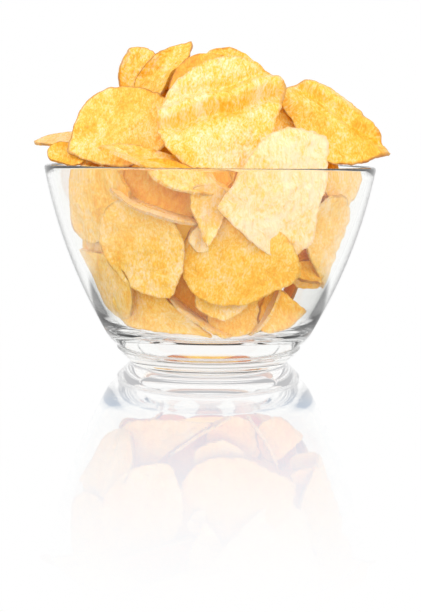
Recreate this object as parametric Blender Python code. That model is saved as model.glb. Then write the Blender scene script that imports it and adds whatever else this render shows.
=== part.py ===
"""A pressed-glass bowl with a heap of potato crisps in it, in metres, +Z up.

The origin is the middle of the bowl's foot, on the surface that it stands on. Two
pieces: the bowl, which is one turned solid, and the heap, which is one solid out to
its uneven outline, with the crisps that stand proud of it joined on.
"""

import math

import bmesh
import bpy
from mathutils import Matrix, Vector

MM = 0.001

# The bowl, as a turned profile of (radius, height).
BOWL_HEIGHT = 96.5 * MM
RIM_RADIUS = 80.0 * MM
RIM_WALL = 3.0 * MM
WALL_BULGE_RADIUS = 250 * MM
SHOULDER = (50.3 * MM, 14.0 * MM)
SHOULDER_RADIUS = 16 * MM
NECK = (44.7 * MM, 8.4 * MM)
FOOT_TOP = (45.7 * MM, 7.5 * MM)
FOOT_RADIUS = 40.6 * MM
FOOT_EDGE = 1.2 * MM
RECESS_RADIUS = 31.0 * MM
RECESS_DEPTH = 1.2 * MM
INNER_CORNER = (51.0 * MM, 24.5 * MM)
INNER_CORNER_RADIUS = 20 * MM
FLOOR_RADIUS = 33.0 * MM
FLOOR_HEIGHT = 13.0 * MM
BOWL_SEGMENTS = 60
GLASS_COLOUR = (0.93, 0.95, 0.95)

# The heap inside it.
GLASS_GAP = 0.5 * MM
HEAP_BASE_RADIUS = 30 * MM
HEAP_WALL_GAP = 10 * MM
HEAP_SHOULDER_HEIGHT = 94 * MM
HEAP_DOME_HEIGHT = 124 * MM
HEAP_LUMP = 2.2 * MM
HEAP_SEGMENTS = 28
HEAP_LEVELS = 7
REACH_RADIUS = 86 * MM
REACH_HEIGHT = 190 * MM
CRISP_THICKNESS = 2.2 * MM
CRISP_SIDES = 11
CRISP_COLOUR = (0.94, 0.70, 0.28)

# Each crisp: place (x, y, z), half width, half height and cupping in millimetres, then
# lean from lying flat, turn about the upright and spin in its own plane, in degrees.
FRONT_CRISPS = {
    "top_front": ((6, -26, 121), 29, 29, 4, 63, 5, -20),
    "top_left": ((-40, -14, 113), 28, 24, 3, 66, -6, 0),
    "stand_left": ((-34, 8, 133), 13, 21, 3, 78, -8, 8),
    "curl_left": ((-17, 6, 137), 15, 23, 4, 74, 40, -36),
    "stand_middle": ((-3, 14, 131), 22, 22, 3, 72, -14, 0),
    "top_behind": ((9, 3, 132), 27, 26, 3, 72, 6, -10),
    "right_wing": ((58, -4, 112), 32, 20, -4, 62, 12, -36),
    "front_right": ((29, -55, 84), 24, 30, 2, 99, 22, -8),
    "rim_flat": ((-16, -53, 100), 30, 15, 2, 16, 14, -8),
    "left_tip": ((-63, 4, 108), 24, 18, 2, 8, 190, 0),
    "left_rim": ((-60, -14, 101), 17, 13, 3, 42, -32, 0),
    "left_upper": ((-51, -35, 80), 19, 20, -3, 97, -42, 0),
    "middle_shade": ((-18, -38, 86), 22, 17, 2, 84, -4, 0),
    "slant_edge": ((-23, -46, 78), 24, 12, 1, 12, 30, -20),
    "left_large": ((-28, -49, 60), 23, 23, 2, 99, -22, 0),
    "left_low": ((-44, -31, 45), 14, 19, 2, 104, -48, 0),
    "bottom_left": ((-20, -36, 34), 26, 15, 2, 80, -8, -24),
    "middle_twist": ((-1, -53, 75), 14, 15, 3, 92, 58, 0),
    "front_gold": ((13, -49, 51), 26, 22, 2, 92, 6, 0),
    "right_upper": ((57, -24, 87), 15, 16, 2, 96, 42, 0),
    "right_long": ((49, -33, 63), 13, 24, 2, 100, 40, 0),
    "right_roll": ((42, -28, 46), 9, 10, 3, 80, 30, 0),
    "bottom_right": ((29, -33, 31), 16, 12, 2, 84, 18, -8),
    "bottom_edge": ((22, -38, 31), 10, 12, 1, 88, 72, 0),
    "gap_lit": ((30, -16, 114), 12, 18, 2, 78, 30, 0),
    "gap_deep": ((38, 2, 112), 18, 20, 2, 70, 0, 0),
    "rim_shade": ((-44, -42, 97), 20, 14, 2, 55, -28, 0),
}

# Rows of crisps round the sides and the back: height, distance from the middle, half width,
# half height and cupping in millimetres, lean, first and last direction (0 is +X, 90 is the
# back) in degrees, and how many crisps share that stretch.
ROWS = {
    "crown": (129, 34, 24, 20, 3, 38, 56, 112, 2),
    "shoulder": (112, 55, 26, 25, 3, 62, 38, 140, 3),
    "rim": (102, 65, 22, 16, 2, 24, 25, 158, 4),
    "upper": (79, 61, 22, 20, 2, 98, 0, 180, 5),
    "lower": (47, 49, 20, 20, 2, 104, 24, 156, 4),
}
ROW_UNEVENNESS = 3


def clear_scene():
    for found in list(bpy.data.objects):
        bpy.data.objects.remove(found, do_unlink=True)


def make_material(name, colour, roughness, transmission=0.0):
    material = bpy.data.materials.new(name)
    material.use_nodes = True
    shader = material.node_tree.nodes["Principled BSDF"]
    shader.inputs["Base Color"].default_value = (*colour, 1)
    shader.inputs["Roughness"].default_value = roughness
    shader.inputs["Metallic"].default_value = 0
    shader.inputs["Transmission Weight"].default_value = transmission
    return material


def arc_between(start, end, radius, steps, bulge):
    """Points from start to end on a circle, bulging to the right of travel at bulge 1, left at -1."""
    first, last = Vector(start), Vector(end)
    middle = (first + last) / 2
    half = (last - first) / 2
    across = Vector((half.y, -half.x)).normalized() * bulge
    centre = middle - across * math.sqrt(radius**2 - half.length_squared)
    begin = first - centre
    turn = bulge * 2 * math.asin(half.length / radius)
    points = []
    for step in range(steps + 1):
        angle = turn * step / steps
        cos, sin = math.cos(angle), math.sin(angle)
        points.append((centre.x + begin.x * cos - begin.y * sin, centre.y + begin.x * sin + begin.y * cos))
    return points


def outer_profile():
    """From the middle of the underside, out over the foot and up the wall to the lip."""
    foot_corner = (FOOT_RADIUS, 0)
    foot_side = (FOOT_RADIUS + 0.7 * FOOT_EDGE, FOOT_EDGE)
    lip_start = (RIM_RADIUS, BOWL_HEIGHT - RIM_WALL / 2)
    return [
        (0, RECESS_DEPTH),
        (RECESS_RADIUS - 2 * RECESS_DEPTH, RECESS_DEPTH),
        (RECESS_RADIUS, 0),
        foot_corner,
        foot_side,
        FOOT_TOP,
        NECK,
        *arc_between(NECK, SHOULDER, SHOULDER_RADIUS, 4, 1)[1:],
        *arc_between(SHOULDER, lip_start, WALL_BULGE_RADIUS, 8, 1)[1:],
    ]


def inner_profile(gap=0.0):
    """From the lip down the inside of the wall to the middle of the floor, moved inwards by gap."""
    lip_end = (RIM_RADIUS - RIM_WALL - gap, BOWL_HEIGHT - RIM_WALL / 2)
    corner = (INNER_CORNER[0] - gap, INNER_CORNER[1] + gap / 2)
    floor = (FLOOR_RADIUS - gap / 2, FLOOR_HEIGHT + gap)
    return [
        *arc_between(lip_end, corner, WALL_BULGE_RADIUS, 8, -1),
        *arc_between(corner, floor, INNER_CORNER_RADIUS + 6 * MM, 5, -1)[1:],
        (0, FLOOR_HEIGHT + gap),
    ]


def lip_profile():
    """The rounded lip, over the top from the outside to the inside."""
    start = (RIM_RADIUS, BOWL_HEIGHT - RIM_WALL / 2)
    end = (RIM_RADIUS - RIM_WALL, BOWL_HEIGHT - RIM_WALL / 2)
    return arc_between(start, end, RIM_WALL / 2 * 1.0001, 4, 1)[1:-1]


def turned_mesh(name, profile, segments, radius_of=None):
    """A closed solid turned about +Z from a profile whose two ends lie on the axis."""
    shape = bmesh.new()
    rings = []
    for radius, height in profile[1:-1]:
        ring = []
        for step in range(segments):
            angle = 2 * math.pi * step / segments
            reach = radius_of(radius, height, angle) if radius_of else radius
            ring.append(shape.verts.new((reach * math.cos(angle), reach * math.sin(angle), height)))
        rings.append(ring)
    for lower, upper in zip(rings, rings[1:]):
        for step in range(segments):
            after = (step + 1) % segments
            shape.faces.new((lower[step], lower[after], upper[after], upper[step]))
    for (_, height), ring in ((profile[0], rings[0]), (profile[-1], rings[-1])):
        tip = shape.verts.new((0, 0, height))
        for step in range(segments):
            shape.faces.new((tip, ring[step], ring[(step + 1) % segments]))
    bmesh.ops.recalc_face_normals(shape, faces=shape.faces)
    mesh = bpy.data.meshes.new(name)
    shape.to_mesh(mesh)
    shape.free()
    return mesh


def add_object(name, mesh, material=None):
    made = bpy.data.objects.new(name, mesh)
    bpy.context.scene.collection.objects.link(made)
    if material:
        mesh.materials.append(material)
    return made


def build_bowl(material):
    profile = outer_profile() + lip_profile() + inner_profile()
    bowl = add_object("glass_bowl", turned_mesh("glass_bowl", profile, BOWL_SEGMENTS), material)
    bowl.data.shade_smooth()
    bowl.data.set_sharp_from_angle(angle=math.radians(35))
    return bowl


def heap_profile():
    """The lump of crisps in the middle: a base on the floor, sides inside the wall, and a dome."""
    base = FLOOR_HEIGHT + GLASS_GAP
    wall_start = (INNER_CORNER[0] - HEAP_WALL_GAP, INNER_CORNER[1] + HEAP_WALL_GAP)
    shoulder = (RIM_RADIUS - RIM_WALL - 1.4 * HEAP_WALL_GAP, HEAP_SHOULDER_HEIGHT)
    profile = [(0, base), (HEAP_BASE_RADIUS, base)]
    profile += arc_between(wall_start, shoulder, WALL_BULGE_RADIUS, HEAP_LEVELS, 1)
    rise = HEAP_DOME_HEIGHT - HEAP_SHOULDER_HEIGHT
    for step in range(1, 5):
        share = step / 5
        profile.append((shoulder[0] * math.cos(share * math.pi / 2), shoulder[1] + rise * share))
    return profile + [(0, HEAP_DOME_HEIGHT)]


def lumpy(radius, height, angle):
    """The core's uneven side: three waves that slide round it with height."""
    slide = height / (30 * MM)
    wave = math.sin(5 * angle + slide) + 0.7 * math.sin(8 * angle - 2 * slide) + 0.5 * math.sin(3 * angle)
    strength = min(1, (height - FLOOR_HEIGHT) / (30 * MM))
    return radius + HEAP_LUMP * wave * strength


def crisp_mesh(name, half_width, half_height, cupping):
    """A cupped oval plate, its middle raised by cupping above its edge."""
    shape = bmesh.new()
    layers = []
    for side in (-0.5, 0.5):
        lift = side * CRISP_THICKNESS
        centre = shape.verts.new((0, 0, cupping * MM * 0.5 + lift))
        ring = []
        for step in range(CRISP_SIDES):
            angle = 2 * math.pi * step / CRISP_SIDES
            place = (half_width * MM * math.cos(angle), half_height * MM * math.sin(angle), lift - cupping * MM * 0.5)
            ring.append(shape.verts.new(place))
        for step in range(CRISP_SIDES):
            shape.faces.new((centre, ring[step], ring[(step + 1) % CRISP_SIDES]))
        layers.append(ring)
    for step in range(CRISP_SIDES):
        after = (step + 1) % CRISP_SIDES
        shape.faces.new((layers[0][step], layers[0][after], layers[1][after], layers[1][step]))
    bmesh.ops.recalc_face_normals(shape, faces=shape.faces)
    mesh = bpy.data.meshes.new(name)
    shape.to_mesh(mesh)
    shape.free()
    return mesh


def row_crisps():
    """The crisps of every row, each a little off its even place, in the form of FRONT_CRISPS."""
    laid = {}
    for name, (height, reach, half_width, half_height, cupping, lean, first, last, count) in ROWS.items():
        for number in range(count):
            direction = first + (last - first) * number / (count - 1)
            stray = ROW_UNEVENNESS * math.sin(2.4 * number + height)
            angle = math.radians(direction + stray)
            place = (reach * math.cos(angle), reach * math.sin(angle), height + stray)
            turn = direction + 90 - 3 * stray
            spin = 6 * stray
            laid[f"{name}_{number + 1}"] = (place, half_width - stray, half_height, cupping, lean, turn, spin)
    return laid


def place_crisp(place, lean, turn, spin):
    turned = Matrix.Rotation(math.radians(turn), 4, "Z") @ Matrix.Rotation(math.radians(lean), 4, "X")
    return Matrix.Translation(Vector(place) * MM) @ turned @ Matrix.Rotation(math.radians(spin), 4, "Z")


def make_helper(found, collection):
    """Puts an object among the shapes that a Boolean reads, out of the render."""
    for owner in list(found.users_collection):
        owner.objects.unlink(found)
    collection.objects.link(found)
    found.hide_render = True
    found.display_type = "WIRE"


def open_space_mesh():
    """Where the heap may be: inside the wall up to the lip, and a little past it above."""
    inside = list(reversed(inner_profile(GLASS_GAP)))
    over_lip = BOWL_HEIGHT + GLASS_GAP
    profile = inside + [(inside[-1][0], over_lip), (REACH_RADIUS, over_lip)]
    profile += [(REACH_RADIUS, REACH_HEIGHT), (0, REACH_HEIGHT)]
    return turned_mesh("open_space", profile, BOWL_SEGMENTS)


def build_heap(material):
    heap = add_object("crisps_heap", turned_mesh("crisps_heap", heap_profile(), HEAP_SEGMENTS, lumpy), material)
    crisps = bpy.data.collections.new("crisps")
    bpy.context.scene.collection.children.link(crisps)
    laid = {**FRONT_CRISPS, **row_crisps()}
    for name, (place, half_width, half_height, cupping, lean, turn, spin) in laid.items():
        crisp = add_object(name, crisp_mesh(name, half_width, half_height, cupping))
        crisp.matrix_world = place_crisp(place, lean, turn, spin)
        make_helper(crisp, crisps)
    join = heap.modifiers.new("join crisps", "BOOLEAN")
    join.operation = "UNION"
    join.operand_type = "COLLECTION"
    join.collection = crisps
    helpers = bpy.data.collections.new("helpers")
    bpy.context.scene.collection.children.link(helpers)
    space = add_object("open_space", open_space_mesh())
    make_helper(space, helpers)
    trim = heap.modifiers.new("keep off the glass", "BOOLEAN")
    trim.operation = "INTERSECT"
    trim.object = space
    return heap


def main():
    clear_scene()
    build_bowl(make_material("clear glass", GLASS_COLOUR, 0.02, 1.0))
    build_heap(make_material("potato crisp", CRISP_COLOUR, 0.6))


main()
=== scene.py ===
import math
import random

import bmesh
import bpy
from mathutils import Matrix, Vector


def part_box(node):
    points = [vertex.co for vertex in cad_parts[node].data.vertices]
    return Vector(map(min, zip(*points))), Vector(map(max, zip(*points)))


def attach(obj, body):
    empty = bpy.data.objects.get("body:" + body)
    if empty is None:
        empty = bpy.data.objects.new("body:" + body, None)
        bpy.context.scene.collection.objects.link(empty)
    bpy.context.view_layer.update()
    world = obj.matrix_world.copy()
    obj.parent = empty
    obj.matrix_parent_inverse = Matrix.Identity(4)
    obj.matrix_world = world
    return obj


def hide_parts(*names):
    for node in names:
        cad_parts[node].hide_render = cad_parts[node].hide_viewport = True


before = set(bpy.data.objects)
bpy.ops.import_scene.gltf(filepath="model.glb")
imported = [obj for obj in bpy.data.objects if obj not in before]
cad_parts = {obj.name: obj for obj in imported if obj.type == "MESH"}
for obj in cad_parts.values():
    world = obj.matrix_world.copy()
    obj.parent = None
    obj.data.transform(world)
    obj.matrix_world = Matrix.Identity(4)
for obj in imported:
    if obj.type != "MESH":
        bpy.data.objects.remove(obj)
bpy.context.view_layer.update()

mm = 0.001
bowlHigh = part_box("glass_bowl")[1]
rimRadius = bowlHigh[0]
rimHeight = bowlHigh[2]


def deselectAll():
    if bpy.context.object and bpy.context.object.mode != "OBJECT":
        bpy.ops.object.mode_set(mode="OBJECT")
    bpy.ops.object.select_all(action="DESELECT")


def pick(piece):
    deselectAll()
    piece.select_set(True)
    bpy.context.view_layer.objects.active = piece


def applyModifiers(piece):
    pick(piece)
    for modifier in list(piece.modifiers):
        bpy.ops.object.modifier_apply(modifier=modifier.name)


def arcPoints(start, end, radius, steps, bulge):
    # points after start, up to end, on a circle; bulge 1 is to the right of travel, -1 to the left
    first = Vector(start)
    last = Vector(end)
    half = (last - first) / 2
    across = Vector((half.y, -half.x)).normalized() * bulge
    centre = (first + last) / 2 - across * math.sqrt(max(radius**2 - half.length_squared, 0))
    begin = first - centre
    turn = bulge * 2 * math.asin(min(half.length / radius, 1))
    points = []
    for step in range(1, steps + 1):
        angle = turn * step / steps
        cos = math.cos(angle)
        sin = math.sin(angle)
        points.append((centre.x + begin.x * cos - begin.y * sin, centre.y + begin.x * sin + begin.y * cos))
    return points


# Lengths across are radii. A pair is a radius and a height, and a bend is the radius of an arc.
bowl = {
    "segments": 192,
    "rimWall": 3.0 * mm,
    "wallBulge": 250 * mm,
    "shoulder": (50.3 * mm, 14.0 * mm),
    "shoulderBend": 16 * mm,
    "neck": (44.7 * mm, 8.4 * mm),
    "neckOut": 0.5 * mm,        # the hollow over the foot ends this far out and up from the neck
    "neckUp": 0.7 * mm,
    "neckBend": 0.8 * mm,
    "footTop": (45.7 * mm, 7.5 * mm),
    "collarIn": 0.4 * mm,       # the rounded edge of the foot's top
    "collarBelow": 0.6 * mm,
    "collarAbove": 0.35 * mm,
    "collarBend": 0.55 * mm,
    "foot": 38.8 * mm,
    "footEdge": 1.2 * mm,
    "footFlare": 0.7,
    "footBend": 1.7 * mm,
    "recess": 27.0 * mm,
    "recessDepth": 0.8 * mm,
    "recessSlope": 2.2,
    "recessBend": 3.4 * mm,
    "innerCorner": (51.0 * mm, 24.5 * mm),
    "innerBend": 26 * mm,
    "floorRadius": 33.0 * mm,
    "floorHeight": 13.0 * mm,
    "freeAbove": 8 * mm,        # from this far above the lip crisps may lean out as they like
    "opening": 2.5,
    "smoothAngle": 50,
}


def bowlOutside():
    lipStart = (rimRadius, rimHeight - bowl["rimWall"] / 2)
    path = [(bowl["recess"] - bowl["recessSlope"] * bowl["recessDepth"], bowl["recessDepth"])]
    path += arcPoints(path[-1], (bowl["recess"], 0), bowl["recessBend"], 4, -1)
    path.append((bowl["foot"] - bowl["footEdge"], 0))
    footSide = (bowl["foot"] + bowl["footFlare"] * bowl["footEdge"], bowl["footEdge"])
    path += arcPoints(path[-1], footSide, bowl["footBend"], 5, 1)
    radius, height = bowl["footTop"]
    path.append((radius - bowl["collarIn"], height - bowl["collarBelow"]))
    collar = (radius - bowl["collarIn"], height + bowl["collarAbove"])
    path += arcPoints(path[-1], collar, bowl["collarBend"], 5, 1)
    radius, height = bowl["neck"]
    hollow = (radius + bowl["neckOut"], height + bowl["neckUp"])
    path += arcPoints(path[-1], hollow, bowl["neckBend"], 4, -1)
    path += arcPoints(path[-1], bowl["shoulder"], bowl["shoulderBend"], 10, 1)
    path += arcPoints(path[-1], lipStart, bowl["wallBulge"], 26, 1)
    return path


def bowlInside():
    lipEnd = (rimRadius - bowl["rimWall"], rimHeight - bowl["rimWall"] / 2)
    floorEdge = (bowl["floorRadius"], bowl["floorHeight"])
    path = arcPoints(lipEnd, bowl["innerCorner"], bowl["wallBulge"], 26, -1)
    path += arcPoints(bowl["innerCorner"], floorEdge, bowl["innerBend"], 14, -1)
    return path


def bowlLip():
    start = (rimRadius, rimHeight - bowl["rimWall"] / 2)
    end = (rimRadius - bowl["rimWall"], rimHeight - bowl["rimWall"] / 2)
    # a hair over half the wall, so that the arc always has a middle
    return arcPoints(start, end, bowl["rimWall"] / 2 * 1.0001, 12, 1)


def makeBowl():
    path = bowlOutside() + bowlLip() + bowlInside()
    deselectAll()
    bpy.ops.mesh.primitive_circle_add(
        vertices=bowl["segments"], radius=path[0][0], fill_type="NGON", location=(0, 0, path[0][1])
    )
    piece = bpy.context.object
    piece.name = "glassBowl"
    bpy.ops.object.transform_apply(location=True, rotation=False, scale=False)
    bpy.ops.object.mode_set(mode="EDIT")
    bpy.ops.mesh.select_mode(type="FACE")
    bpy.ops.mesh.select_all(action="SELECT")
    for (radius, height), (nextRadius, nextHeight) in zip(path, path[1:]):
        # the cap moves along, and each step leaves one ring of wall behind
        bpy.ops.mesh.extrude_region_move(TRANSFORM_OT_translate={"value": (0, 0, nextHeight - height)})
        share = nextRadius / radius
        bpy.ops.transform.resize(value=(share, share, 1), center_override=(0, 0, nextHeight))
    bpy.ops.mesh.select_all(action="SELECT")
    bpy.ops.mesh.normals_make_consistent(inside=False)
    bpy.ops.object.mode_set(mode="OBJECT")
    bpy.ops.object.shade_smooth_by_angle(angle=math.radians(bowl["smoothAngle"]))
    return piece


innerWall = [(rimRadius - bowl["rimWall"], rimHeight)] + bowlInside()


def innerRadius(height):
    # the glass's inside at this height; above the lip the limit soon opens
    if height > rimHeight + bowl["freeAbove"]:
        return 1.0    # as good as free
    if height > rimHeight:
        return rimRadius - bowl["rimWall"] + bowl["opening"] * (height - rimHeight)
    if height < bowl["floorHeight"]:
        return 0
    for (upperRadius, upper), (lowerRadius, lower) in zip(innerWall, innerWall[1:]):
        if lower <= height <= upper:
            share = (height - lower) / (upper - lower)
            return lowerRadius + share * (upperRadius - lowerRadius)
    return bowl["floorRadius"]


crispLook = {
    "thickness": 1.15 * mm,
    "swell": 1.05,              # the smoothed edge draws in by this much
    "discRadius": 25 * mm,      # the flat disc that each crisp starts from, and the step between its rings
    "discStep": 8 * mm,
    "ringShares": {3: 1, 2: 0.68, 1: 0.34},
    "cornerCrease": 0.7,
    "levels": 3,
    "fineLevels": 4,
    "foldSize": 14 * mm,        # waves that run along the crisp
    "foldStretch": 2.6,
    "rippleSize": 6 * mm,       # and smaller ones, with this share of their depth
    "rippleShare": 0.25,
    "foldWobble": 0.8,          # pressed folds bend by this many mm, over this length
    "wobbleLength": 5,
    "blisterSize": 3.0 * mm,
    "blisterHeight": 0.5 * mm,
    "raggedSize": {"X": 3.0 * mm, "Y": 3.75 * mm},
    "ragged": 1.4 * mm,
    "glassGap": 0.5 * mm,       # kept off the glass, as is this share of the thickness
    "glassShare": 0.7,
    "smoothAngle": 48,
    "edgeFade": 3,              # the higher, the nearer to the edge its brown starts
    "browned": 0.22,
    "speckle": 0.9,
    "speckleInside": 0.72,      # behind the glass, below insideHeight (mm), the crisps look smoother
    "insideHeight": 92,
    "smoothTone": 0.3,          # the fewer the speckles, the more it is fried all over
    "streakStretch": 0.5,
    "streakShift": 0.037,
}

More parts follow.
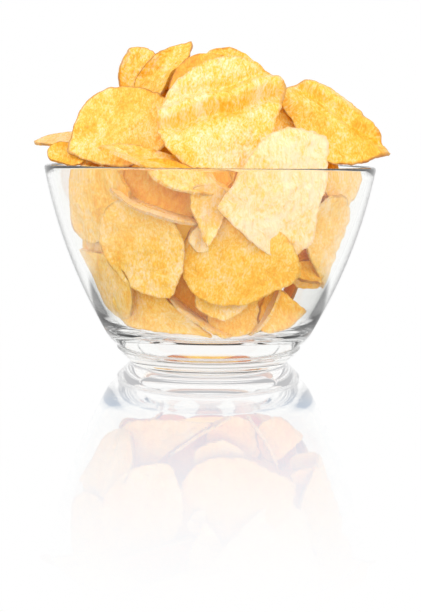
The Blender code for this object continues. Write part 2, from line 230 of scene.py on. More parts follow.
# Each crisp is set one by one: where its middle is (mm), how far it leans back from lying flat, its turn
# about the upright, its spin in its own plane (degrees). "tone" is how far it is fried, "browned" how
# strongly its edge is. "waves" is the depth (mm) and direction of its waves, "corners" the hours where the
# edge is sharp, and "folds" a direction (degrees), then the distance from the middle, width and height of
# each straight fold (mm). "reach" is the distance from the middle to the edge (mm) at the hours of a
# clock, from 12 round to 11, seen from its face. "lift" is how far the edge rises off the plane (mm) at
# the same hours. The large ones at the front are "fine", with four times the faces.
# On some crisps "tone" is also painted light: set deeper as painted shade where a crisp lies in shadow, and
# paler as painted light where an edge-on crisp catches the light.
noLift = (0,) * 12
crisps = {
    "topFront": dict(
        at=(5.3, -26, 121.5), lean=63, turn=4, spin=-6,
        tone=0.2, browned=0.25, waves=(4, 24), corners=(2, 4), fine=True,
        folds=(24, ((13, 3.2, -2.6), (7, 4.2, 3.4), (0, 3, -3.4), (-13, 9, 2))),
        reach=(28.5, 31.5, 32.5, 24, 25.5, 31.5, 34, 33.5, 32, 28.5, 25, 25),
        lift=(1, 0, -3, -4, -3, 0, 1, 2, 1, -1, 1, 2),
    ),
    "topBehind": dict(
        at=(8, -5, 128.5), lean=68, turn=6, spin=0,
        tone=0.55, waves=(2, 20),
        reach=(28, 24.5, 21.5, 20, 20, 20, 20, 20, 21, 22, 22, 24),
        lift=(-2, -2, -2, -2, 0, 0, 0, 0, 0, 0, 1, 1),
    ),
    # painted shade: the deep tone darkens this crisp as if it were turned away from the light
    "topTan": dict(
        at=(-3, -12, 134), lean=66, turn=-10, spin=0,
        tone=1.35, waves=(1.2, 70),
        reach=(16, 17, 17, 18, 18, 18, 18, 18, 17, 17, 16.5, 17),
        lift=(0, 0, -1, -2, 0, 0, 0, 0, 0, -1, -1, 0),
    ),
    "standLeft": dict(
        at=(-34, 9, 141.5), lean=80, turn=-10, spin=0,
        tone=0.45, browned=0.6, waves=(2, 80), corners=(11,),
        reach=(12.2, 10.5, 10.5, 12, 12, 14, 15, 15, 12, 8.8, 9.7, 12),
        lift=(-1, -1, -1, -2, 0, 0, 0, 2, 5, 6, 5, 2),
    ),
    "curlLeft": dict(
        at=(-22.5, 6, 142.5), lean=74, turn=-18, spin=-38,
        tone=0.7, browned=0.65, waves=(1, 10), corners=(0,),
        reach=(18, 13, 7.5, 6, 10, 17, 20, 17, 8.5, 6.5, 7.5, 11),
        lift=(-3, 0, 3, 5, 4, 1, 0, 1, 4, 5, 4, 0),
    ),
    "topLeft": dict(
        at=(-42, -14, 116), lean=64, turn=-8, spin=0,
        tone=0.78, browned=0.7, waves=(4, 80), corners=(8,), fine=True,
        reach=(18.7, 20, 25, 25, 26, 24, 22, 23, 28, 22, 21.8, 20.6),
        lift=(-1, 0, 0, 2, 3, 1, 0, 0, -1, 0, -1, -2),
    ),
    "flatRim": dict(
        at=(-18, -48, 96), lean=20, turn=28, spin=-28,
        tone=0.3, browned=0.2, waves=(1.6, 85), corners=(3, 9), fine=True,
        reach=(15, 15, 19, 30, 23, 18, 18, 16, 17, 31, 26, 19),
        lift=(0, -2, -4, -6, -5, -4, -2, 1, 4, 4, 3, 1),
    ),
    "leftTip": dict(
        at=(-66, 6, 108.6), lean=11, turn=0, spin=0,
        tone=0.5, browned=0.5, waves=(0.8, 0), corners=(9,),
        reach=(17, 19, 21, 20, 18, 16, 16, 17, 19.5, 20, 19, 18),
        lift=(0, 0, 0, 0, 0, 0, 0, 0, -1, -2, -1, 0),
    ),
    # painted shade: the deep tone stands for the shade in its curled hollow
    "leftCurl": dict(
        at=(-68, -12, 101.5), lean=60, turn=-25, spin=0,
        tone=1.0, browned=0.6, waves=(0.8, 0),
        reach=(5, 6.5, 10, 13, 11, 8, 5.5, 6.5, 9, 9, 7, 5),
        lift=(2, 1, 0, 0, 0, 0, 1, 2, 3, 4, 4, 3),
    ),
    "rightWing": dict(
        at=(59, -4, 116.5), lean=62, turn=10, spin=0,
        tone=0.58, browned=0.55, waves=(3, 120), corners=(4, 10), fine=True,
        folds=(-40, ((12, 4, 2.2), (7, 3, -2.2), (0, 5, 2.0))),
        reach=(21, 17, 16, 20, 29.5, 23, 21, 22, 17, 17, 30, 28),
        lift=(-2, -3, -3, -1, 0, 0, 0, 0, -1, -2, -3, -3),
    ),
    "gapLit": dict(
        at=(27, -16, 111.5), lean=82, turn=30, spin=0,
        tone=0.6, waves=(1, 0),
        reach=(14, 10, 8.5, 8.5, 9, 10, 12, 12, 10, 9, 10, 12),
        lift=noLift,
    ),
    "gapDeep": dict(
        at=(33, -4, 112), lean=70, turn=5, spin=0,
        tone=0.55, waves=(1.5, 0),
        reach=(17, 17, 18, 20, 20, 19, 19, 19, 20, 20, 20, 18),
        lift=noLift,
    ),
    "frontRight": dict(
        at=(28.5, -54, 85), lean=96, turn=20, spin=12,
        tone=-0.3, waves=(4, 60), corners=(2, 5, 6, 9), fine=True,
        reach=(24, 30.5, 34, 25.5, 20, 27, 30, 23.5, 21.5, 26.5, 18.5, 19),
        lift=(-5, -7, -7, -2, 0, 1, 1, 0, 1, 1, 0, -2),
    ),
    "leftUpper": dict(
        at=(-50.7, -36, 81), lean=97, turn=-42, spin=0,
        tone=0.45, waves=(3, 30), fine=True,
        reach=(14, 17, 22, 24, 21, 18, 18.5, 24, 27, 20, 23, 18),
        lift=(0, 0, 0, 0, 0, 0, 0, -1, -2, -2, -1, 0),
    ),
    # painted shade: the deep tone darkens this crisp for the shade under flatRim
    "middleShade": dict(
        at=(-19.6, -47, 85), lean=84, turn=-4, spin=0,
        tone=1.0, waves=(1.2, 80),
        reach=(14, 15, 17, 17, 17, 15, 14, 16, 20, 20, 20, 17),
        lift=(0, 0, 0, 0, 0, 0, 0, 0, -1, -2, -2, 0),
    ),
    # painted light: the pale tone makes its lit near edge read brighter
    "slantEdge": dict(
        at=(-24, -50, 78.3), lean=19, turn=68, spin=-68,
        tone=-0.1, browned=0.45, waves=(0.7, 0), corners=(9,),
        reach=(13, 14, 17, 24, 19, 13, 10, 12, 15, 20.5, 15, 13),
        lift=(0, 0, 0, 1, 0, -1, -1, -1, 0, 2, 1, 0),
    ),
    "leftLarge": dict(
        at=(-29.6, -50, 60.5), lean=99, turn=-20, spin=0,
        tone=0.4, waves=(3, 100), corners=(5,), fine=True,
        reach=(20, 19.5, 20, 19, 20.5, 24, 20, 17.3, 17.5, 20.4, 22, 25),
        lift=(0, 0, -1, -2, -1, 1, 1, 0, -1, -2, -1, 0),
    ),
    "leftPatch": dict(
        at=(-51.6, -28, 58.7), lean=95, turn=-50, spin=0,
        tone=0.15, waves=(1, 0),
        reach=(12, 13, 14, 14, 12, 10, 8, 9, 12, 12.5, 12, 12),
        lift=noLift,
    ),
    "leftLow": dict(
        at=(-46.5, -33, 45.5), lean=104, turn=-48, spin=-3,
        tone=0.35, waves=(1.2, 30), corners=(10,),
        reach=(11.5, 12, 14, 18, 20, 22, 16, 13, 11, 13, 21, 12),
        lift=(0, 0, 0, 0, 0, 0, 0, -1, -1, -1, 0, 0),
    ),
    "bottomLeft": dict(
        at=(-25, -40, 32), lean=100, turn=-12, spin=8,
        tone=0.35, waves=(2.2, 20), corners=(4,), fine=True,
        reach=(14, 9, 8, 10.5, 29, 14, 11, 10.5, 14.5, 18.2, 20, 17.5),
        lift=(-2, -1, 0, 1, 3, 1, 0, 0, -1, -2, -2, -2),
    ),
    # painted light: the pale tone makes its lit near edge read brighter
    "lowEdge": dict(
        at=(-3.5, -41, 27.6), lean=33, turn=84, spin=-84,
        tone=0.1, waves=(0.7, 0), corners=(9,),
        reach=(9, 12, 15, 17, 14, 8, 5, 8, 14, 17, 15, 12),
        lift=(0, 0, 0, 0, 0, -1, -1, -1, 0, 1, 1, 0),
    ),
    # painted shade: a deep-toned crisp that fills a dark hole low in the heap
    "lowMiddle": dict(
        at=(-8, -37, 37), lean=95, turn=-10, spin=0,
        tone=1.3, waves=(0.8, 0),
        reach=(12, 12, 12, 12, 12, 12, 12, 12, 12, 12, 12, 12),
        lift=noLift,
    ),
    "middleTwist": dict(
        at=(-2, -55, 77), lean=92, turn=12, spin=0,
        tone=0.2, waves=(0.8, 0), corners=(6,),
        reach=(12.5, 13, 12, 9, 8.5, 9.6, 13.8, 6, 4.8, 5.8, 7.8, 12.8),
        lift=(4, 3, 1, 0, 1, 4, 7, 4, 1, 0, 1, 3),
    ),
    "paleLobe": dict(
        at=(-1.8, -53, 65), lean=92, turn=30, spin=0,
        tone=-0.1, waves=(0.6, 0),
        reach=(7, 8, 8, 8, 7, 6, 5, 6, 7, 8, 8, 7),
        lift=noLift,
    ),
    "frontGold": dict(
        at=(12.8, -52, 54.5), lean=96, turn=2, spin=-12,
        tone=0.56, waves=(2.4, 0), corners=(3,), fine=True,
        reach=(19, 22, 25, 27, 19, 18.8, 18.4, 23, 25, 25, 26.5, 20),
        lift=(-3, -2, -1, -3, -1, 0, 0, 0, -1, -2, -2, -2),
    ),
    "underLip": dict(
        at=(7.1, -46, 40.6), lean=92, turn=0, spin=0,
        tone=0.3, waves=(0.7, 0), corners=(6,),
        reach=(10, 11, 12, 11, 12, 10.5, 12, 12, 15, 13, 12, 11),
        lift=(0, 0, 0, 0, 0, 1, 2, 1, 0, 0, 0, 0),
    ),
    "bottomMiddle": dict(
        at=(13, -40, 29), lean=90, turn=4, spin=0,
        tone=0.5, waves=(1, 10),
        reach=(12, 12, 11, 9, 10, 10, 10, 12, 14, 14, 13, 12),
        lift=noLift,
    ),
    "lowFin": dict(
        at=(24, -33, 30.5), lean=60, turn=-80, spin=0,
        tone=0.1, waves=(0.5, 0),
        reach=(15, 16, 15, 12.5, 12.5, 14, 14, 12, 10, 10, 10, 12),
        lift=(0, 0, 0, -1, 0, 0, 0, 0, 0, 0, 0, 0),
    ),
    "bottomRight": dict(
        at=(31.1, -36, 28.8), lean=94, turn=14, spin=8,
        tone=0.55, waves=(1, 40), corners=(3,),
        reach=(14, 10.5, 9.8, 14.5, 8.6, 8, 7.6, 8.5, 11, 10, 9, 11),
        lift=(0, 0, 0, 0, 0, 0, 0, 2, 3, 3, 2, 1),
    ),
    "rightUpper": dict(
        at=(60.5, -30, 89.5), lean=97, turn=38, spin=6,
        tone=0.15, browned=0.3, waves=(1.2, 0), corners=(2, 3, 6), ragged=1.6,
        reach=(5, 6, 10, 13, 10.5, 10.5, 13.5, 7, 10, 12, 10, 6),
        lift=(0, 0, 0, -1, 0, 0, 0, 0, 0, 0, 0, 0),
    ),
    "rightLong": dict(
        at=(53.2, -34, 68), lean=101, turn=40, spin=8,
        tone=0.2, waves=(2.6, 80), corners=(6,), fine=True,
        reach=(16.7, 17.7, 15, 12, 10.6, 12, 27, 15.7, 13.3, 13, 16, 17),
        lift=(3, 2, 0, 0, 0, 0, 0, 0, 0, 0, 2, 3),
    ),
    "rightRoll": dict(
        at=(45.4, -31, 48.5), lean=66, turn=24, spin=0,
        tone=0.4, waves=(0.5, 0),
        reach=(5, 6, 7.5, 7.5, 6.5, 6, 5.5, 6, 7, 7.5, 7, 6),
        lift=(3, 2, 1, 0, 1, 2, 3, 2, 1, 0, 1, 2),
    ),
    "rightUnder": dict(
        at=(46, -27, 44.5), lean=104, turn=20, spin=0,
        tone=0.8, waves=(0.5, 0),
        reach=(5, 6, 8, 8.5, 7, 5, 4, 5, 7.5, 8, 7, 6),
        lift=noLift,
    ),
    "sideLeft": dict(
        at=(-44, -20, 89), lean=16, turn=-50, spin=0,
        tone=0.3, waves=(2, 0),
        reach=(17, 18, 18, 16, 15, 15, 16, 17, 17, 16, 16, 16),
        lift=(1, 0, -2, -3, -2, 0, 1, 0, -2, -3, -2, 0),
    ),
    "sideRight": dict(
        at=(49, -19, 86), lean=18, turn=50, spin=0,
        tone=0.3, waves=(2, 40),
        reach=(17, 16, 16, 15, 15, 16, 17, 16, 16, 15, 16, 17),
        lift=(0, 2, 0, -3, -2, 0, 0, 2, 0, -2, -2, 0),
    ),
    # painted shade: a deep-toned crisp in the gap, standing for the shade there
    "gapLow": dict(
        at=(44, -16, 57), lean=90, turn=30, spin=0,
        tone=1.4, waves=(0.8, 0),
        reach=(12, 12, 12, 12, 12, 11, 9, 10, 12, 12, 12, 12),
        lift=noLift,
    ),
}


# Crisps that are set in rows round the bowl: each row has its height (mm), distance from the middle (mm),
# lean and size. Its part at the front, between the two angles, is left free for the crisps above, and at
# the sides the row is drawn in by the share "aside".
rows = {
    "floor": dict(count=5, height=28, out=33, lean=112, size=14, free=(-75, 70), aside=0.11, tone=0.7),
    "low": dict(count=6, height=44, out=46, lean=106, size=19, free=(-80, 75), aside=0.11, tone=0.5),
    "middle": dict(count=7, height=63, out=56, lean=102, size=21, free=(-78, 74), aside=0.11, tone=0.4),
    "upper": dict(count=7, height=79, out=62, lean=97, size=20, free=(-80, 78), aside=0.1, tone=0.35),
    "lip": dict(count=6, height=99, out=59, lean=42, size=25, free=(-86, 90), aside=0.12, tone=0.35),
    "shoulder": dict(count=4, height=116, out=42, lean=46, size=25, free=(-112, 112), aside=0, tone=0.3),
    "crown": dict(count=2, height=129, out=24, lean=34, size=23, free=(-145, 135), aside=0, tone=0.3),
}
# The layer behind the crisps at the front, which shows between them. Low at the right, from the angle
# openAngle and below openHeight (mm), it is left out, because there one can see through the bowl.
behind = {
    "count": 5,
    "heights": (42, 61, 76),
    "out": (25, 34, 40),
    "angles": (-78, 78),
    "lean": 98,
    "size": 20,
    # painted shade: the layer gets a deeper tone than the rows, the colour of crisps in shadow seen between
    # the front ones
    "tone": 1.0,
    "openHeight": 50,
    "openAngle": 30,
    "levels": 2,
}
# What chance may change on a crisp in a row or behind.
chanceLook = {
    "seed": 11,
    "angle": (-5, 5),
    "height": (-3, 3),
    "size": (0.92, 1.08),
    "oval": (0.94, 1.12),
    "bend": (0.08, 0.24),
    "reach": (0.93, 1.07),
    "lift": (-0.6, 0.6),
    "lean": (-9, 9),
    "turn": (-14, 14),
    "spin": (-40, 40),
    "tone": (-0.25, 0.3),
    "waves": (1.2, 2.6),
}


def clockPlace(hour, distance, height):
    angle = math.radians(30 * hour)
    return Vector((math.sin(angle) * distance, math.cos(angle) * distance, height))


def clockHour(place):
    return round(math.degrees(math.atan2(place.x, place.y)) / 30) % 12


def shapeDisc(crisp, name):
    # a flat disc of three rings, each point then moved to its own place
    bpy.ops.mesh.primitive_circle_add(
        vertices=12, radius=crispLook["discRadius"], fill_type="NGON", location=(0, 0, 0)
    )
    piece = bpy.context.object
    piece.name = name
    bpy.ops.object.mode_set(mode="EDIT")
    bpy.ops.mesh.select_mode(type="FACE")
    bpy.ops.mesh.select_all(action="SELECT")
    bpy.ops.mesh.inset(thickness=crispLook["discStep"], depth=0)
    bpy.ops.mesh.inset(thickness=crispLook["discStep"], depth=0)
    bpy.ops.mesh.poke()
    shape = bmesh.from_edit_mesh(piece.data)
    shape.verts.ensure_lookup_table()
    outermost = len(crispLook["ringShares"])
    moves = []
    for vertex in shape.verts:
        distance = vertex.co.length
        if distance < 1 * mm:
            continue    # the middle stays
        hour = clockHour(vertex.co)
        ring = round(distance / crispLook["discStep"])
        share = crispLook["ringShares"][ring]
        reach = crisp["reach"][hour] * share * mm * crispLook["swell"]
        target = clockPlace(hour, reach, crisp["lift"][hour] * share**2 * mm)
        sharp = ring == outermost and hour in crisp.get("corners", ())
        moves.append((vertex.index, target, sharp))
    bpy.ops.mesh.select_mode(type="VERT")
    for index, target, sharp in moves:
        bpy.ops.mesh.select_all(action="DESELECT")
        vertex = shape.verts[index]
        vertex.select_set(True)
        bpy.ops.transform.translate(value=target - vertex.co)
        if sharp:
            bpy.ops.transform.vert_crease(value=crispLook["cornerCrease"])
        shape = bmesh.from_edit_mesh(piece.data)
        shape.verts.ensure_lookup_table()
    bpy.ops.object.mode_set(mode="OBJECT")
    return piece


def setAttribute(piece, name, value):
    values = piece.data.attributes.new(name, "FLOAT", "POINT")
    for point in values.data:
        point.value = value


def addFryingAttributes(piece, crisp):
    # what the fried potato reads: how near the edge a point is, and how this crisp is fried, where its tone
    # also holds painted shade or light
    edge = piece.data.attributes.new("edge", "FLOAT", "POINT")
    for vertex in piece.data.vertices:
        full = crisp["reach"][clockHour(vertex.co)] * mm * crispLook["swell"]
        flat = Vector((vertex.co.x, vertex.co.y)).length
        edge.data[vertex.index].value = max(0, min(1, flat / full)) ** crispLook["edgeFade"]
    inside = crisp["at"][2] < crispLook["insideHeight"]
    speckled = crispLook["speckleInside"] if inside else crispLook["speckle"]
    setAttribute(piece, "browned", crisp.get("browned", crispLook["browned"]))
    setAttribute(piece, "speckle", speckled)
    setAttribute(piece, "tone", crisp["tone"] + crispLook["smoothTone"] * (1 - speckled))
    # the streaks run along each crisp, and every crisp has its own
    streaks = piece.data.attributes.new("streaks", "FLOAT_VECTOR", "POINT")
    own = Vector(crisp["at"]) * crispLook["streakShift"]
    for vertex in piece.data.vertices:
        along = Vector((vertex.co.x, vertex.co.y * crispLook["streakStretch"], 0))
        streaks.data[vertex.index].vector = along + own


def addNoise(piece, name, size, strength, direction="NORMAL", guide=None, depth=1):
    texture = bpy.data.textures.get(name) or bpy.data.textures.new(name, "CLOUDS")
    texture.noise_scale = size
    texture.noise_depth = depth
    modifier = piece.modifiers.new(name, "DISPLACE")
    modifier.texture = texture
    modifier.strength = strength
    modifier.mid_level = 0.5
    modifier.direction = direction
    if guide:
        modifier.texture_coords = "OBJECT"
        modifier.texture_coords_object = guide
    else:
        modifier.texture_coords = "GLOBAL"


def placeCrisp(piece, crisp):
    turned = Matrix.Rotation(math.radians(crisp["turn"]), 4, "Z")
    turned = turned @ Matrix.Rotation(math.radians(crisp["lean"]), 4, "X")
    turned = turned @ Matrix.Rotation(math.radians(crisp["spin"]), 4, "Z")
    piece.matrix_world = Matrix.Translation(Vector(crisp["at"]) * mm) @ turned


def pressFolds(piece, crisp):
    if "folds" not in crisp:
        return
    direction, folds = crisp["folds"]
    across = Vector((-math.sin(math.radians(direction)), math.cos(math.radians(direction)), 0))
    onward = across.cross(Vector((0, 0, 1)))
    for vertex in piece.data.vertices:
        far = vertex.co.dot(across) / mm
        wobble = math.sin(vertex.co.dot(onward) / mm / crispLook["wobbleLength"])
        for middle, width, height in folds:
            off = far - middle + crispLook["foldWobble"] * wobble
            vertex.co.z += height * mm * math.exp(-((off / width) ** 2))


def keepOffGlass(piece):
    # points past the glass come back to its inside
    back = piece.matrix_world.inverted()
    gap = crispLook["glassGap"] + crispLook["thickness"] * crispLook["glassShare"]
    floor = bowl["floorHeight"] + gap
    for vertex in piece.data.vertices:
        place = piece.matrix_world @ vertex.co
        if place.z < floor:
            place.z = floor
        flat = math.hypot(place.x, place.y)
        limit = innerRadius(place.z) - gap
        if flat > limit:
            place.x *= limit / flat
            place.y *= limit / flat
        vertex.co = back @ place


def makeCrisp(name, crisp):
    deselectAll()
    piece = shapeDisc(crisp, name)
    addFryingAttributes(piece, crisp)
    placeCrisp(piece, crisp)
    depth, direction = crisp["waves"]
    bpy.ops.object.empty_add()
    guide = bpy.context.object
    waves = Matrix.Rotation(math.radians(direction), 4, "Z")
    waves = waves @ Matrix.Diagonal((1, crispLook["foldStretch"], 1, 1))
    guide.matrix_world = piece.matrix_world @ waves
    levels = crispLook["fineLevels"] if crisp.get("fine") else crispLook["levels"]
    smooth = piece.modifiers.new("smooth", "SUBSURF")
    smooth.levels = smooth.render_levels = crisp.get("levels", levels)
    addNoise(piece, "folds", crispLook["foldSize"], depth * mm, guide=guide)
    addNoise(piece, "ripples", crispLook["rippleSize"], crispLook["rippleShare"] * depth * mm)
    ragged = crisp.get("ragged", 1) * crispLook["ragged"]
    for direction, size in crispLook["raggedSize"].items():
        addNoise(piece, "ragged" + direction, size, ragged, direction)
    applyModifiers(piece)
    pressFolds(piece, crisp)
    keepOffGlass(piece)
    wall = piece.modifiers.new("wall", "SOLIDIFY")
    wall.thickness = crispLook["thickness"]
    wall.offset = 0
    addNoise(piece, "blisters", crispLook["blisterSize"], crispLook["blisterHeight"], depth=2)
    applyModifiers(piece)
    bpy.ops.object.transform_apply(location=True, rotation=True, scale=True)
    bpy.ops.object.shade_smooth_by_angle(angle=math.radians(crispLook["smoothAngle"]))
    bpy.data.objects.remove(guide)
    return piece


def chanceCrisp(chance, angle, height, out, lean, size, tone):
    # a crisp of no special shape: an uneven oval that bends like a saddle
    azimuth = math.radians(angle)
    wide = chance.uniform(*chanceLook["oval"])
    turned = chance.uniform(0, math.pi)
    bend = chance.uniform(*chanceLook["bend"]) * size * chance.choice((-1, 1))
    bendTurn = chance.uniform(0, math.pi)
    reach = []
    lift = []
    for hour in range(12):
        clock = math.radians(30 * hour)
        oval = 1 + (wide - 1) * math.cos(2 * (clock - turned))
        reach.append(size * oval * chance.uniform(*chanceLook["reach"]))
        lift.append(bend * math.cos(2 * (clock - bendTurn)) + chance.uniform(*chanceLook["lift"]))
    return dict(
        at=(math.sin(azimuth) * out, -math.cos(azimuth) * out, height),
        lean=lean + chance.uniform(*chanceLook["lean"]),
        turn=angle + chance.uniform(*chanceLook["turn"]),
        spin=chance.uniform(*chanceLook["spin"]),
        tone=tone + chance.uniform(*chanceLook["tone"]),
        waves=(chance.uniform(*chanceLook["waves"]), chance.uniform(0, 180)),
        corners=(chance.randrange(12),),
        reach=reach,
        lift=lift,
    )


def rowCrisps():
    # name and shape of every crisp in the rows, the same at each run
    chance = random.Random(chanceLook["seed"])
    made = {}
    for name, row in rows.items():
        start, end = row["free"][1], 360 + row["free"][0]
        for number in range(row["count"]):
            angle = start + (end - start) * (number + 0.5) / row["count"]
            angle += chance.uniform(*chanceLook["angle"])
            side = abs(math.sin(math.radians(angle)))
            height = row["height"] + chance.uniform(*chanceLook["height"])
            out = row["out"] * (1 - row["aside"] * side)
            size = row["size"] * chance.uniform(*chanceLook["size"])
            crisp = chanceCrisp(chance, angle, height, out, row["lean"], size, row["tone"])
            made[name + str(number)] = crisp
    start, end = behind["angles"]
    for level, height in enumerate(behind["heights"]):
        for number in range(behind["count"]):
            angle = start + (end - start) * (number + 0.5) / behind["count"]
            angle += chance.uniform(*chanceLook["angle"])
            if height < behind["openHeight"] and angle > behind["openAngle"]:
                continue
            crisp = chanceCrisp(
                chance, angle, height, behind["out"][level], behind["lean"], behind["size"], behind["tone"]
            )
            crisp["levels"] = behind["levels"]
            made["behind" + str(level) + str(number)] = crisp
    return made


def joinPieces(pieces, name):
    pick(pieces[0])
    for piece in pieces:
        piece.select_set(True)
    bpy.ops.object.join()
    whole = bpy.context.object
    whole.name = name
    whole.data.name = name
    return whole


def startMaterial(name):
    material = bpy.data.materials.new(name)
    material.use_nodes = True
    tree = material.node_tree
    return material, tree, tree.nodes["Principled BSDF"]


def addNode(tree, kind, settings=None, **links):
    node = tree.nodes.new(kind)
    for key, value in (settings or {}).items():
        if key in node.inputs:
            node.inputs[key].default_value = value
        else:
            setattr(node, key, value)
    for key, source in links.items():
        tree.links.new(source, node.inputs[key])
    return node


def attribute(tree, name, output="Fac"):
    return addNode(tree, "ShaderNodeAttribute", {"attribute_name": name}).outputs[output]


def noise(tree, where, scale, detail, roughness):
    settings = {"Scale": scale, "Detail": detail, "Roughness": roughness}
    return addNode(tree, "ShaderNodeTexNoise", settings, Vector=where).outputs["Fac"]


def spread(tree, value, low, high, start=0.0, end=1.0):
    # from start at low to end at high, with soft ends
    limits = {"From Min": low, "From Max": high, "To Min": start, "To Max": end}
    settings = {"interpolation_type": "SMOOTHSTEP", **limits}
    return addNode(tree, "ShaderNodeMapRange", settings, Value=value).outputs["Result"]


def blend(tree, share, first, second):
    node = tree.nodes.new("ShaderNodeMix")
    node.data_type = "RGBA"
    colours = [socket for socket in node.inputs if socket.type == "RGBA"]
    for socket, colour in zip(colours, (first, second)):
        if isinstance(colour, tuple):
            socket.default_value = (*colour, 1)
        else:
            tree.links.new(colour, socket)
    tree.links.new(share, node.inputs[0])
    return [socket for socket in node.outputs if socket.type == "RGBA"][0]


def calculate(tree, operation, first, second=None):
    node = tree.nodes.new("ShaderNodeMath")
    node.operation = operation
    for socket, value in zip(node.inputs, (first, second)):
        if value is None:
            continue
        if isinstance(value, (int, float)):
            socket.default_value = value
        else:
            tree.links.new(value, socket)
    return node.outputs[0]


# Fried potato. The colours run from barely fried to toasted, each with its place on the ramp. A pattern has
# its scale, detail and roughness. A spread is a range of its pattern, then how much frying it gives.
friedLook = {
    "cream": ((0.97, 0.74, 0.46), 0.1),
    "pale": ((0.96, 0.645, 0.28), 0.27),
    "yellow": ((0.95, 0.55, 0.065), 0.43),
    "golden": ((0.93, 0.455, 0.03), 0.53),
    "deep": ((0.88, 0.35, 0.008), 0.7),
    "toasted": ((0.66, 0.25, 0.01), 1.0),
    "brownEdge": (0.34, 0.12, 0.015),
    "patches": (60, 3, 0.55),
    "mottle": (190, 5, 0.6),
    "freckles": (700, 4, 0.65),
    "grain": (1500, 3, 0.7),
    "veins": {"noise_type": "RIDGED_MULTIFRACTAL", "Scale": 110, "Detail": 4, "Distortion": 0.5},
    "bubbles": {"feature": "SMOOTH_F1", "Scale": 330, "Smoothness": 0.35},
    "patchSpread": (0.32, 0.68, -0.38, 0.2),
    "mottleSpread": (0.32, 0.68, -0.3, 0.32),
    "veinSpread": (0.6, 1.0, 0, 0.6),
    "freckleSpread": (0.42, 0.68, -0.2, 0.55),
    "grainSpread": (0.42, 0.62, 0.35, -0.4),
    "least": 1.0,               # frying from -least up is brought onto the ramp, this wide in all
    "range": 3.5,
    "rimStart": (0.86, 0.99),   # brown edge: how near the edge, in which patches and on which tones
    "rimPatches": (0.46, 0.62),
    "rimTone": (0.0, 0.5, 0.15, 0.85),
    "brownStart": (0.9, 0.985),
    "roughness": 0.36,
    "specular": 0.45,
    "glow": 0.2,                # light that goes into the crisp and comes out again
    "glowReach": (1.0, 0.5, 0.12),
    "glowScale": 2 * mm,
    "freckleHeight": 0.6,
    "grainHeight": 0.3,
    "bubbleDepth": 0.5,
    "bump": 0.9,
    "bumpHeight": 0.8 * mm,
}


def fryingColour(tree, fried):
    share = calculate(tree, "DIVIDE", calculate(tree, "ADD", fried, friedLook["least"]), friedLook["range"])
    ramp = addNode(tree, "ShaderNodeValToRGB", Fac=share)
    steps = [friedLook[name] for name in ("cream", "pale", "yellow", "golden", "deep", "toasted")]
    while len(ramp.color_ramp.elements) < len(steps):
        ramp.color_ramp.elements.new(0.5)
    for element, (colour, place) in zip(ramp.color_ramp.elements, steps):
        element.position = place
        element.color = (*colour, 1)
    return ramp.outputs["Color"]


def makeCrispMaterial():
    material, tree, shader = startMaterial("friedPotato")
    where = attribute(tree, "streaks", "Vector")
    tone = attribute(tree, "tone")
    edge = attribute(tree, "edge")
    speckle = attribute(tree, "speckle")
    browned = attribute(tree, "browned")
    patches = noise(tree, where, *friedLook["patches"])
    mottle = noise(tree, where, *friedLook["mottle"])
    freckles = noise(tree, where, *friedLook["freckles"])
    grain = noise(tree, where, *friedLook["grain"])
    veins = addNode(tree, "ShaderNodeTexNoise", friedLook["veins"], Vector=where).outputs["Fac"]
    bubbles = addNode(tree, "ShaderNodeTexVoronoi", friedLook["bubbles"], Vector=where).outputs["Distance"]
    # how far each spot is fried, from cream to toasted
    spots = spread(tree, mottle, *friedLook["mottleSpread"])
    spots = calculate(tree, "ADD", spots, spread(tree, veins, *friedLook["veinSpread"]))
    spots = calculate(tree, "ADD", spots, spread(tree, freckles, *friedLook["freckleSpread"]))
    spots = calculate(tree, "ADD", spots, spread(tree, grain, *friedLook["grainSpread"]))
    # the crisp's tone is added in, and on some crisps it is painted shade or light
    fried = calculate(tree, "ADD", tone, spread(tree, patches, *friedLook["patchSpread"]))
    fried = calculate(tree, "ADD", fried, calculate(tree, "MULTIPLY", spots, speckle))
    # the edge is browned in patches, and all along where the crisp says so
    rim = spread(tree, edge, *friedLook["rimStart"])
    rim = calculate(tree, "MULTIPLY", rim, spread(tree, patches, *friedLook["rimPatches"]))
    rim = calculate(tree, "MULTIPLY", rim, spread(tree, tone, *friedLook["rimTone"]))
    allAlong = calculate(tree, "MULTIPLY", spread(tree, edge, *friedLook["brownStart"]), browned)
    rim = calculate(tree, "MAXIMUM", rim, allAlong)
    colour = blend(tree, rim, fryingColour(tree, fried), friedLook["brownEdge"])
    tree.links.new(colour, shader.inputs["Base Color"])
    shader.inputs["Roughness"].default_value = friedLook["roughness"]
    shader.inputs["Specular IOR Level"].default_value = friedLook["specular"]
    shader.inputs["Subsurface Weight"].default_value = friedLook["glow"]
    shader.inputs["Subsurface Radius"].default_value = friedLook["glowReach"]
    shader.inputs["Subsurface Scale"].default_value = friedLook["glowScale"]
    raised = calculate(tree, "MULTIPLY", freckles, friedLook["freckleHeight"])
    height = calculate(tree, "ADD", mottle, raised)
    raised = calculate(tree, "MULTIPLY", grain, friedLook["grainHeight"])
    height = calculate(tree, "ADD", height, raised)
    dents = calculate(tree, "MULTIPLY", bubbles, friedLook["bubbleDepth"])
    height = calculate(tree, "SUBTRACT", height, dents)
    settings = {"Strength": friedLook["bump"], "Distance": friedLook["bumpHeight"]}
    bump = addNode(tree, "ShaderNodeBump", settings, Height=height)
    tree.links.new(bump.outputs["Normal"], shader.inputs["Normal"])
    return material


shadowLook = {
    "folds": (90, 4, 0.6),
    "foldSpread": (0.35, 0.65),
    "deep": (0.84, 0.42, 0.01),
    "high": (0.96, 0.58, 0.03),
    "glow": 0.3,
    "roughness": 0.7,
    "bump": 0.8,
    "bumpHeight": 1.5 * mm,
}


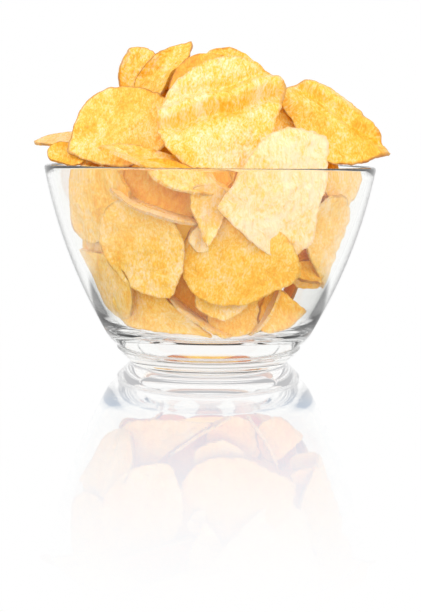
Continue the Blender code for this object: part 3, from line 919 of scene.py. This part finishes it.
def makeCoreMaterial():
    material, tree, shader = startMaterial("crispShadow")
    where = addNode(tree, "ShaderNodeTexCoord").outputs["Object"]
    folds = noise(tree, where, *shadowLook["folds"])
    share = spread(tree, folds, *shadowLook["foldSpread"])
    colour = blend(tree, share, shadowLook["deep"], shadowLook["high"])
    tree.links.new(colour, shader.inputs["Base Color"])
    # painted glow: the core gives off light of its own, standing in for light let through by the thin
    # crisps round it
    tree.links.new(colour, shader.inputs["Emission Color"])
    shader.inputs["Emission Strength"].default_value = shadowLook["glow"]
    shader.inputs["Roughness"].default_value = shadowLook["roughness"]
    settings = {"Strength": shadowLook["bump"], "Distance": shadowLook["bumpHeight"]}
    bump = addNode(tree, "ShaderNodeBump", settings, Height=folds)
    tree.links.new(bump.outputs["Normal"], shader.inputs["Normal"])
    return material


glassLook = {"colour": (0.975, 0.98, 0.965), "ior": 1.5}


def makeGlassMaterial():
    material, tree, shader = startMaterial("clearGlass")
    shader.inputs["Base Color"].default_value = (*glassLook["colour"], 1)
    shader.inputs["Roughness"].default_value = 0.0
    shader.inputs["IOR"].default_value = glassLook["ior"]
    shader.inputs["Transmission Weight"].default_value = 1.0
    # light reaches the crisps straight through the glass
    through = addNode(tree, "ShaderNodeBsdfTransparent", {"Color": (1, 1, 1, 1)})
    rays = addNode(tree, "ShaderNodeLightPath")
    surface = shader.outputs[0]
    for kind in ("Is Diffuse Ray", "Is Shadow Ray"):
        mix = tree.nodes.new("ShaderNodeMixShader")
        tree.links.new(rays.outputs[kind], mix.inputs[0])
        tree.links.new(surface, mix.inputs[1])
        tree.links.new(through.outputs[0], mix.inputs[2])
        surface = mix.outputs[0]
    tree.links.new(surface, tree.nodes["Material Output"].inputs["Surface"])
    return material


# The core fills the middle of the heap, so that no light falls through between the crisps.
core = {
    "wallGap": 29 * mm,
    "low": 18 * mm,
    "wallFrom": 20 * mm,        # from here up it follows the bowl's wall, and from shoulder up it is round
    "shoulder": 80 * mm,
    "top": 104 * mm,
    "bottomBend": 12 * mm,
    "openHeight": 42 * mm,      # below this height it ends here at the right, where the bowl is clear
    "openSide": 24 * mm,
    "lump": 4 * mm,
    "lumpSize": 16 * mm,
}


def coreRadius(height):
    if height < core["shoulder"]:
        wide = innerRadius(max(height, core["wallFrom"])) - core["wallGap"]
    else:
        rise = (height - core["shoulder"]) / (core["top"] - core["shoulder"])
        wide = (innerRadius(core["shoulder"]) - core["wallGap"]) * math.sqrt(max(0, 1 - rise**2))
    down = max(0, (core["low"] + core["bottomBend"] - height) / core["bottomBend"])
    return wide * math.sqrt(max(0, 1 - down**2))


def makeCore():
    deselectAll()
    bpy.ops.mesh.primitive_uv_sphere_add(segments=64, ring_count=40, radius=1, location=(0, 0, 0))
    piece = bpy.context.object
    piece.name = "crispsCore"
    for vertex in piece.data.vertices:
        height = core["low"] + (vertex.co.z + 1) / 2 * (core["top"] - core["low"])
        flat = math.hypot(vertex.co.x, vertex.co.y) or 1
        share = coreRadius(height) / flat
        vertex.co = Vector((vertex.co.x * share, vertex.co.y * share, height))
        if height < core["openHeight"]:
            vertex.co.x = min(vertex.co.x, core["openSide"])
    addNoise(piece, "lumps", core["lumpSize"], core["lump"], depth=2)
    applyModifiers(piece)
    bpy.ops.object.shade_smooth()
    return piece


light = {
    "fill": 0.64,               # how bright the white tent and the floor are for what they light
    "fromFloor": 0.85,
    "lamps": {
        "topLight": dict(place=(-0.45, -0.45, 0.85), size=(0.6, 0.6), power=4.2, shine=True),
        "rightLight": dict(place=(0.8, -0.7, 0.6), size=(0.6, 0.6), power=4, shine=False),
        "frontLight": dict(place=(0.0, -1.1, 0.3), size=(0.9, 0.6), power=4, shine=False),
        "backLight": dict(place=(0.2, 1.0, 0.6), size=(0.9, 0.6), power=5, shine=False),
    },
    "aim": (0, 0, 0.08),
}
# Distances on the floor are from the middle of the bowl (m).
stage = {
    "floorRadius": 6,
    "drop": 0.1 * mm,
    "mirrorFoot": (0.5, 0.5, 0.49),     # what the floor mirrors, under the foot and beyond it
    "mirror": (0.58, 0.5, 0.39),
    "footFade": (0.065, 0.11),
    "mirrorFade": (0.05, 0.3),
    "mirrorRoughness": 0.02,
    "ring": 0.08,                       # how bright the ring is, where it starts and where it ends
    "ringStart": (0.068, 0.085),
    "ringEnd": (0.18, 0.13),
    "ringRay": (0.13, 0.09),            # rays longer than this don't see it
    "ringOutside": 0.5,
}


def ringShade(tree, rays, length):
    # The ring of floor round the bowl that the glass mirrors is dim, or it would lie on the glass as a
    # white veil. It counts in full for what the wall's inner face mirrors, and half for its outside.
    ring = spread(tree, length, *stage["ringStart"])
    ring = calculate(tree, "MULTIPLY", ring, spread(tree, length, *stage["ringEnd"]))
    ring = calculate(tree, "MULTIPLY", ring, spread(tree, rays.outputs["Ray Length"], *stage["ringRay"]))
    turns = rays.outputs["Ray Depth"]
    fromInside = calculate(tree, "ABSOLUTE", calculate(tree, "SUBTRACT", turns, 3.0))
    fromInside = calculate(tree, "LESS_THAN", fromInside, 0.5)
    fromOutside = calculate(tree, "LESS_THAN", turns, 1.5)
    counted = calculate(tree, "MULTIPLY", fromOutside, stage["ringOutside"])
    counted = calculate(tree, "ADD", fromInside, counted)
    ring = calculate(tree, "MULTIPLY", ring, counted)
    shade = spread(tree, ring, 0, 1, 1, stage["ring"])
    return calculate(tree, "MAXIMUM", shade, rays.outputs["Is Camera Ray"])


def makeFloorMaterial():
    material = bpy.data.materials.new("whiteFloor")
    material.use_nodes = True
    tree = material.node_tree
    tree.nodes.remove(tree.nodes["Principled BSDF"])
    rays = addNode(tree, "ShaderNodeLightPath")
    where = addNode(tree, "ShaderNodeTexCoord").outputs["Object"]
    split = addNode(tree, "ShaderNodeSeparateXYZ", Vector=where)
    flat = addNode(tree, "ShaderNodeCombineXYZ", X=split.outputs["X"], Y=split.outputs["Y"]).outputs[0]
    length = addNode(tree, "ShaderNodeVectorMath", {"operation": "LENGTH"}, Vector=flat).outputs["Value"]
    seen = spread(tree, rays.outputs["Is Diffuse Ray"], 0, 1, 1, 0)
    lighting = spread(tree, rays.outputs["Is Diffuse Ray"], 0, 1, 0, light["fromFloor"])
    lit = calculate(tree, "MULTIPLY", ringShade(tree, rays, length), seen)
    lit = calculate(tree, "ADD", lit, lighting)
    share = spread(tree, length, *stage["mirrorFade"], 1, 0)
    share = calculate(tree, "MULTIPLY", share, rays.outputs["Is Camera Ray"])
    # what the mirror takes is left out of the floor's own light, so a white room stays white
    beyondFoot = spread(tree, length, *stage["footFade"])
    taken = [stage["mirrorFoot"], stage["mirror"]]
    kept = [tuple(1 - value for value in colour) for colour in taken]
    mirrored = blend(tree, share, (0.0, 0.0, 0.0), blend(tree, beyondFoot, *taken))
    left = blend(tree, share, (1.0, 1.0, 1.0), blend(tree, beyondFoot, *kept))
    glow = addNode(tree, "ShaderNodeEmission", Color=left, Strength=lit)
    settings = {"Roughness": stage["mirrorRoughness"]}
    gloss = addNode(tree, "ShaderNodeBsdfGlossy", settings, Color=mirrored)
    both = addNode(tree, "ShaderNodeAddShader")
    tree.links.new(glow.outputs[0], both.inputs[0])
    tree.links.new(gloss.outputs[0], both.inputs[1])
    tree.links.new(both.outputs[0], tree.nodes["Material Output"].inputs["Surface"])
    return material


def makeFloor():
    deselectAll()
    bpy.ops.mesh.primitive_circle_add(
        vertices=96, radius=stage["floorRadius"], fill_type="NGON", location=(0, 0, -stage["drop"])
    )
    floor = bpy.context.object
    floor.name = "floor"
    floor.data.materials.append(makeFloorMaterial())


def makeWorld():
    world = bpy.data.worlds.new("whiteTent")
    bpy.context.scene.world = world
    world.use_nodes = True
    tree = world.node_tree
    seen = tree.nodes["Background"]
    seen.inputs["Color"].default_value = (1, 1, 1, 1)
    seen.inputs["Strength"].default_value = 1.0
    rays = addNode(tree, "ShaderNodeLightPath")
    fill = addNode(tree, "ShaderNodeBackground", {"Color": (1, 1, 1, 1), "Strength": light["fill"]})
    mix = tree.nodes.new("ShaderNodeMixShader")
    tree.links.new(rays.outputs["Is Diffuse Ray"], mix.inputs[0])
    tree.links.new(seen.outputs[0], mix.inputs[1])
    tree.links.new(fill.outputs[0], mix.inputs[2])
    tree.links.new(mix.outputs[0], tree.nodes["World Output"].inputs["Surface"])


def makeLamp(name, place, size, power, shine):
    lamp = bpy.data.lights.new(name, "AREA")
    lamp.shape = "RECTANGLE"
    lamp.size, lamp.size_y = size
    lamp.energy = power
    holder = bpy.data.objects.new(name, lamp)
    bpy.context.scene.collection.objects.link(holder)
    holder.location = place
    holder.visible_glossy = shine
    holder.visible_transmission = False
    aim = Vector(light["aim"]) - Vector(place)
    holder.rotation_euler = aim.to_track_quat("-Z", "Y").to_euler()


camera = {
    "lens": 62.2,
    "sensor": 36,
    "nearest": 0.01,
    "place": (0.0008, -0.520, 0.1052),
    "down": 8.55,
    "roll": 0.55,
}


def makeCamera():
    lens = bpy.data.cameras.new("camera")
    holder = bpy.data.objects.new("camera", lens)
    bpy.context.scene.collection.objects.link(holder)
    lens.lens = camera["lens"]
    lens.sensor_width = camera["sensor"]
    lens.clip_start = camera["nearest"]
    turned = Matrix.Rotation(math.radians(90 - camera["down"]), 4, "X")
    turned = turned @ Matrix.Rotation(math.radians(camera["roll"]), 4, "Z")
    holder.matrix_world = Matrix.Translation(camera["place"]) @ turned
    bpy.context.scene.camera = holder


print("bowl")
glass = makeBowl()
glass.data.materials.append(makeGlassMaterial())
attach(glass, "root")
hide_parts("glass_bowl")

print("crisps")
trianglesPerPiece = 190000
friedPotato = makeCrispMaterial()
allCrisps = dict(crisps)
allCrisps.update(rowCrisps())
batches = []
batch = []
faces = 0
total = 0
for name, crisp in allCrisps.items():
    piece = makeCrisp(name, crisp)
    size = sum(len(face.vertices) - 2 for face in piece.data.polygons)
    if faces + size > trianglesPerPiece:
        batches.append(batch)
        batch = []
        faces = 0
    batch.append(piece)
    faces += size
    total += size
batches.append(batch)
for number, batch in enumerate(batches):
    whole = joinPieces(batch, "crisps" + str(number + 1))
    whole.data.materials.append(friedPotato)
    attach(whole, "root")
    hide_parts("crisps_heap")
print("crisps", len(allCrisps), "in pieces", len(batches), "triangles", total)

print("core")
middle = makeCore()
middle.data.materials.append(makeCoreMaterial())
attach(middle, "root")
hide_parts("crisps_heap")

print("floor, lights and camera")
makeFloor()
makeWorld()
for name, lamp in light["lamps"].items():
    makeLamp(name, **lamp)
makeCamera()
bpy.context.scene.view_settings.view_transform = "Standard"
# light turns many times inside the thick base
bpy.context.scene.cycles.max_bounces = 32
bpy.context.scene.cycles.glossy_bounces = 7
bpy.context.scene.cycles.transmission_bounces = 20
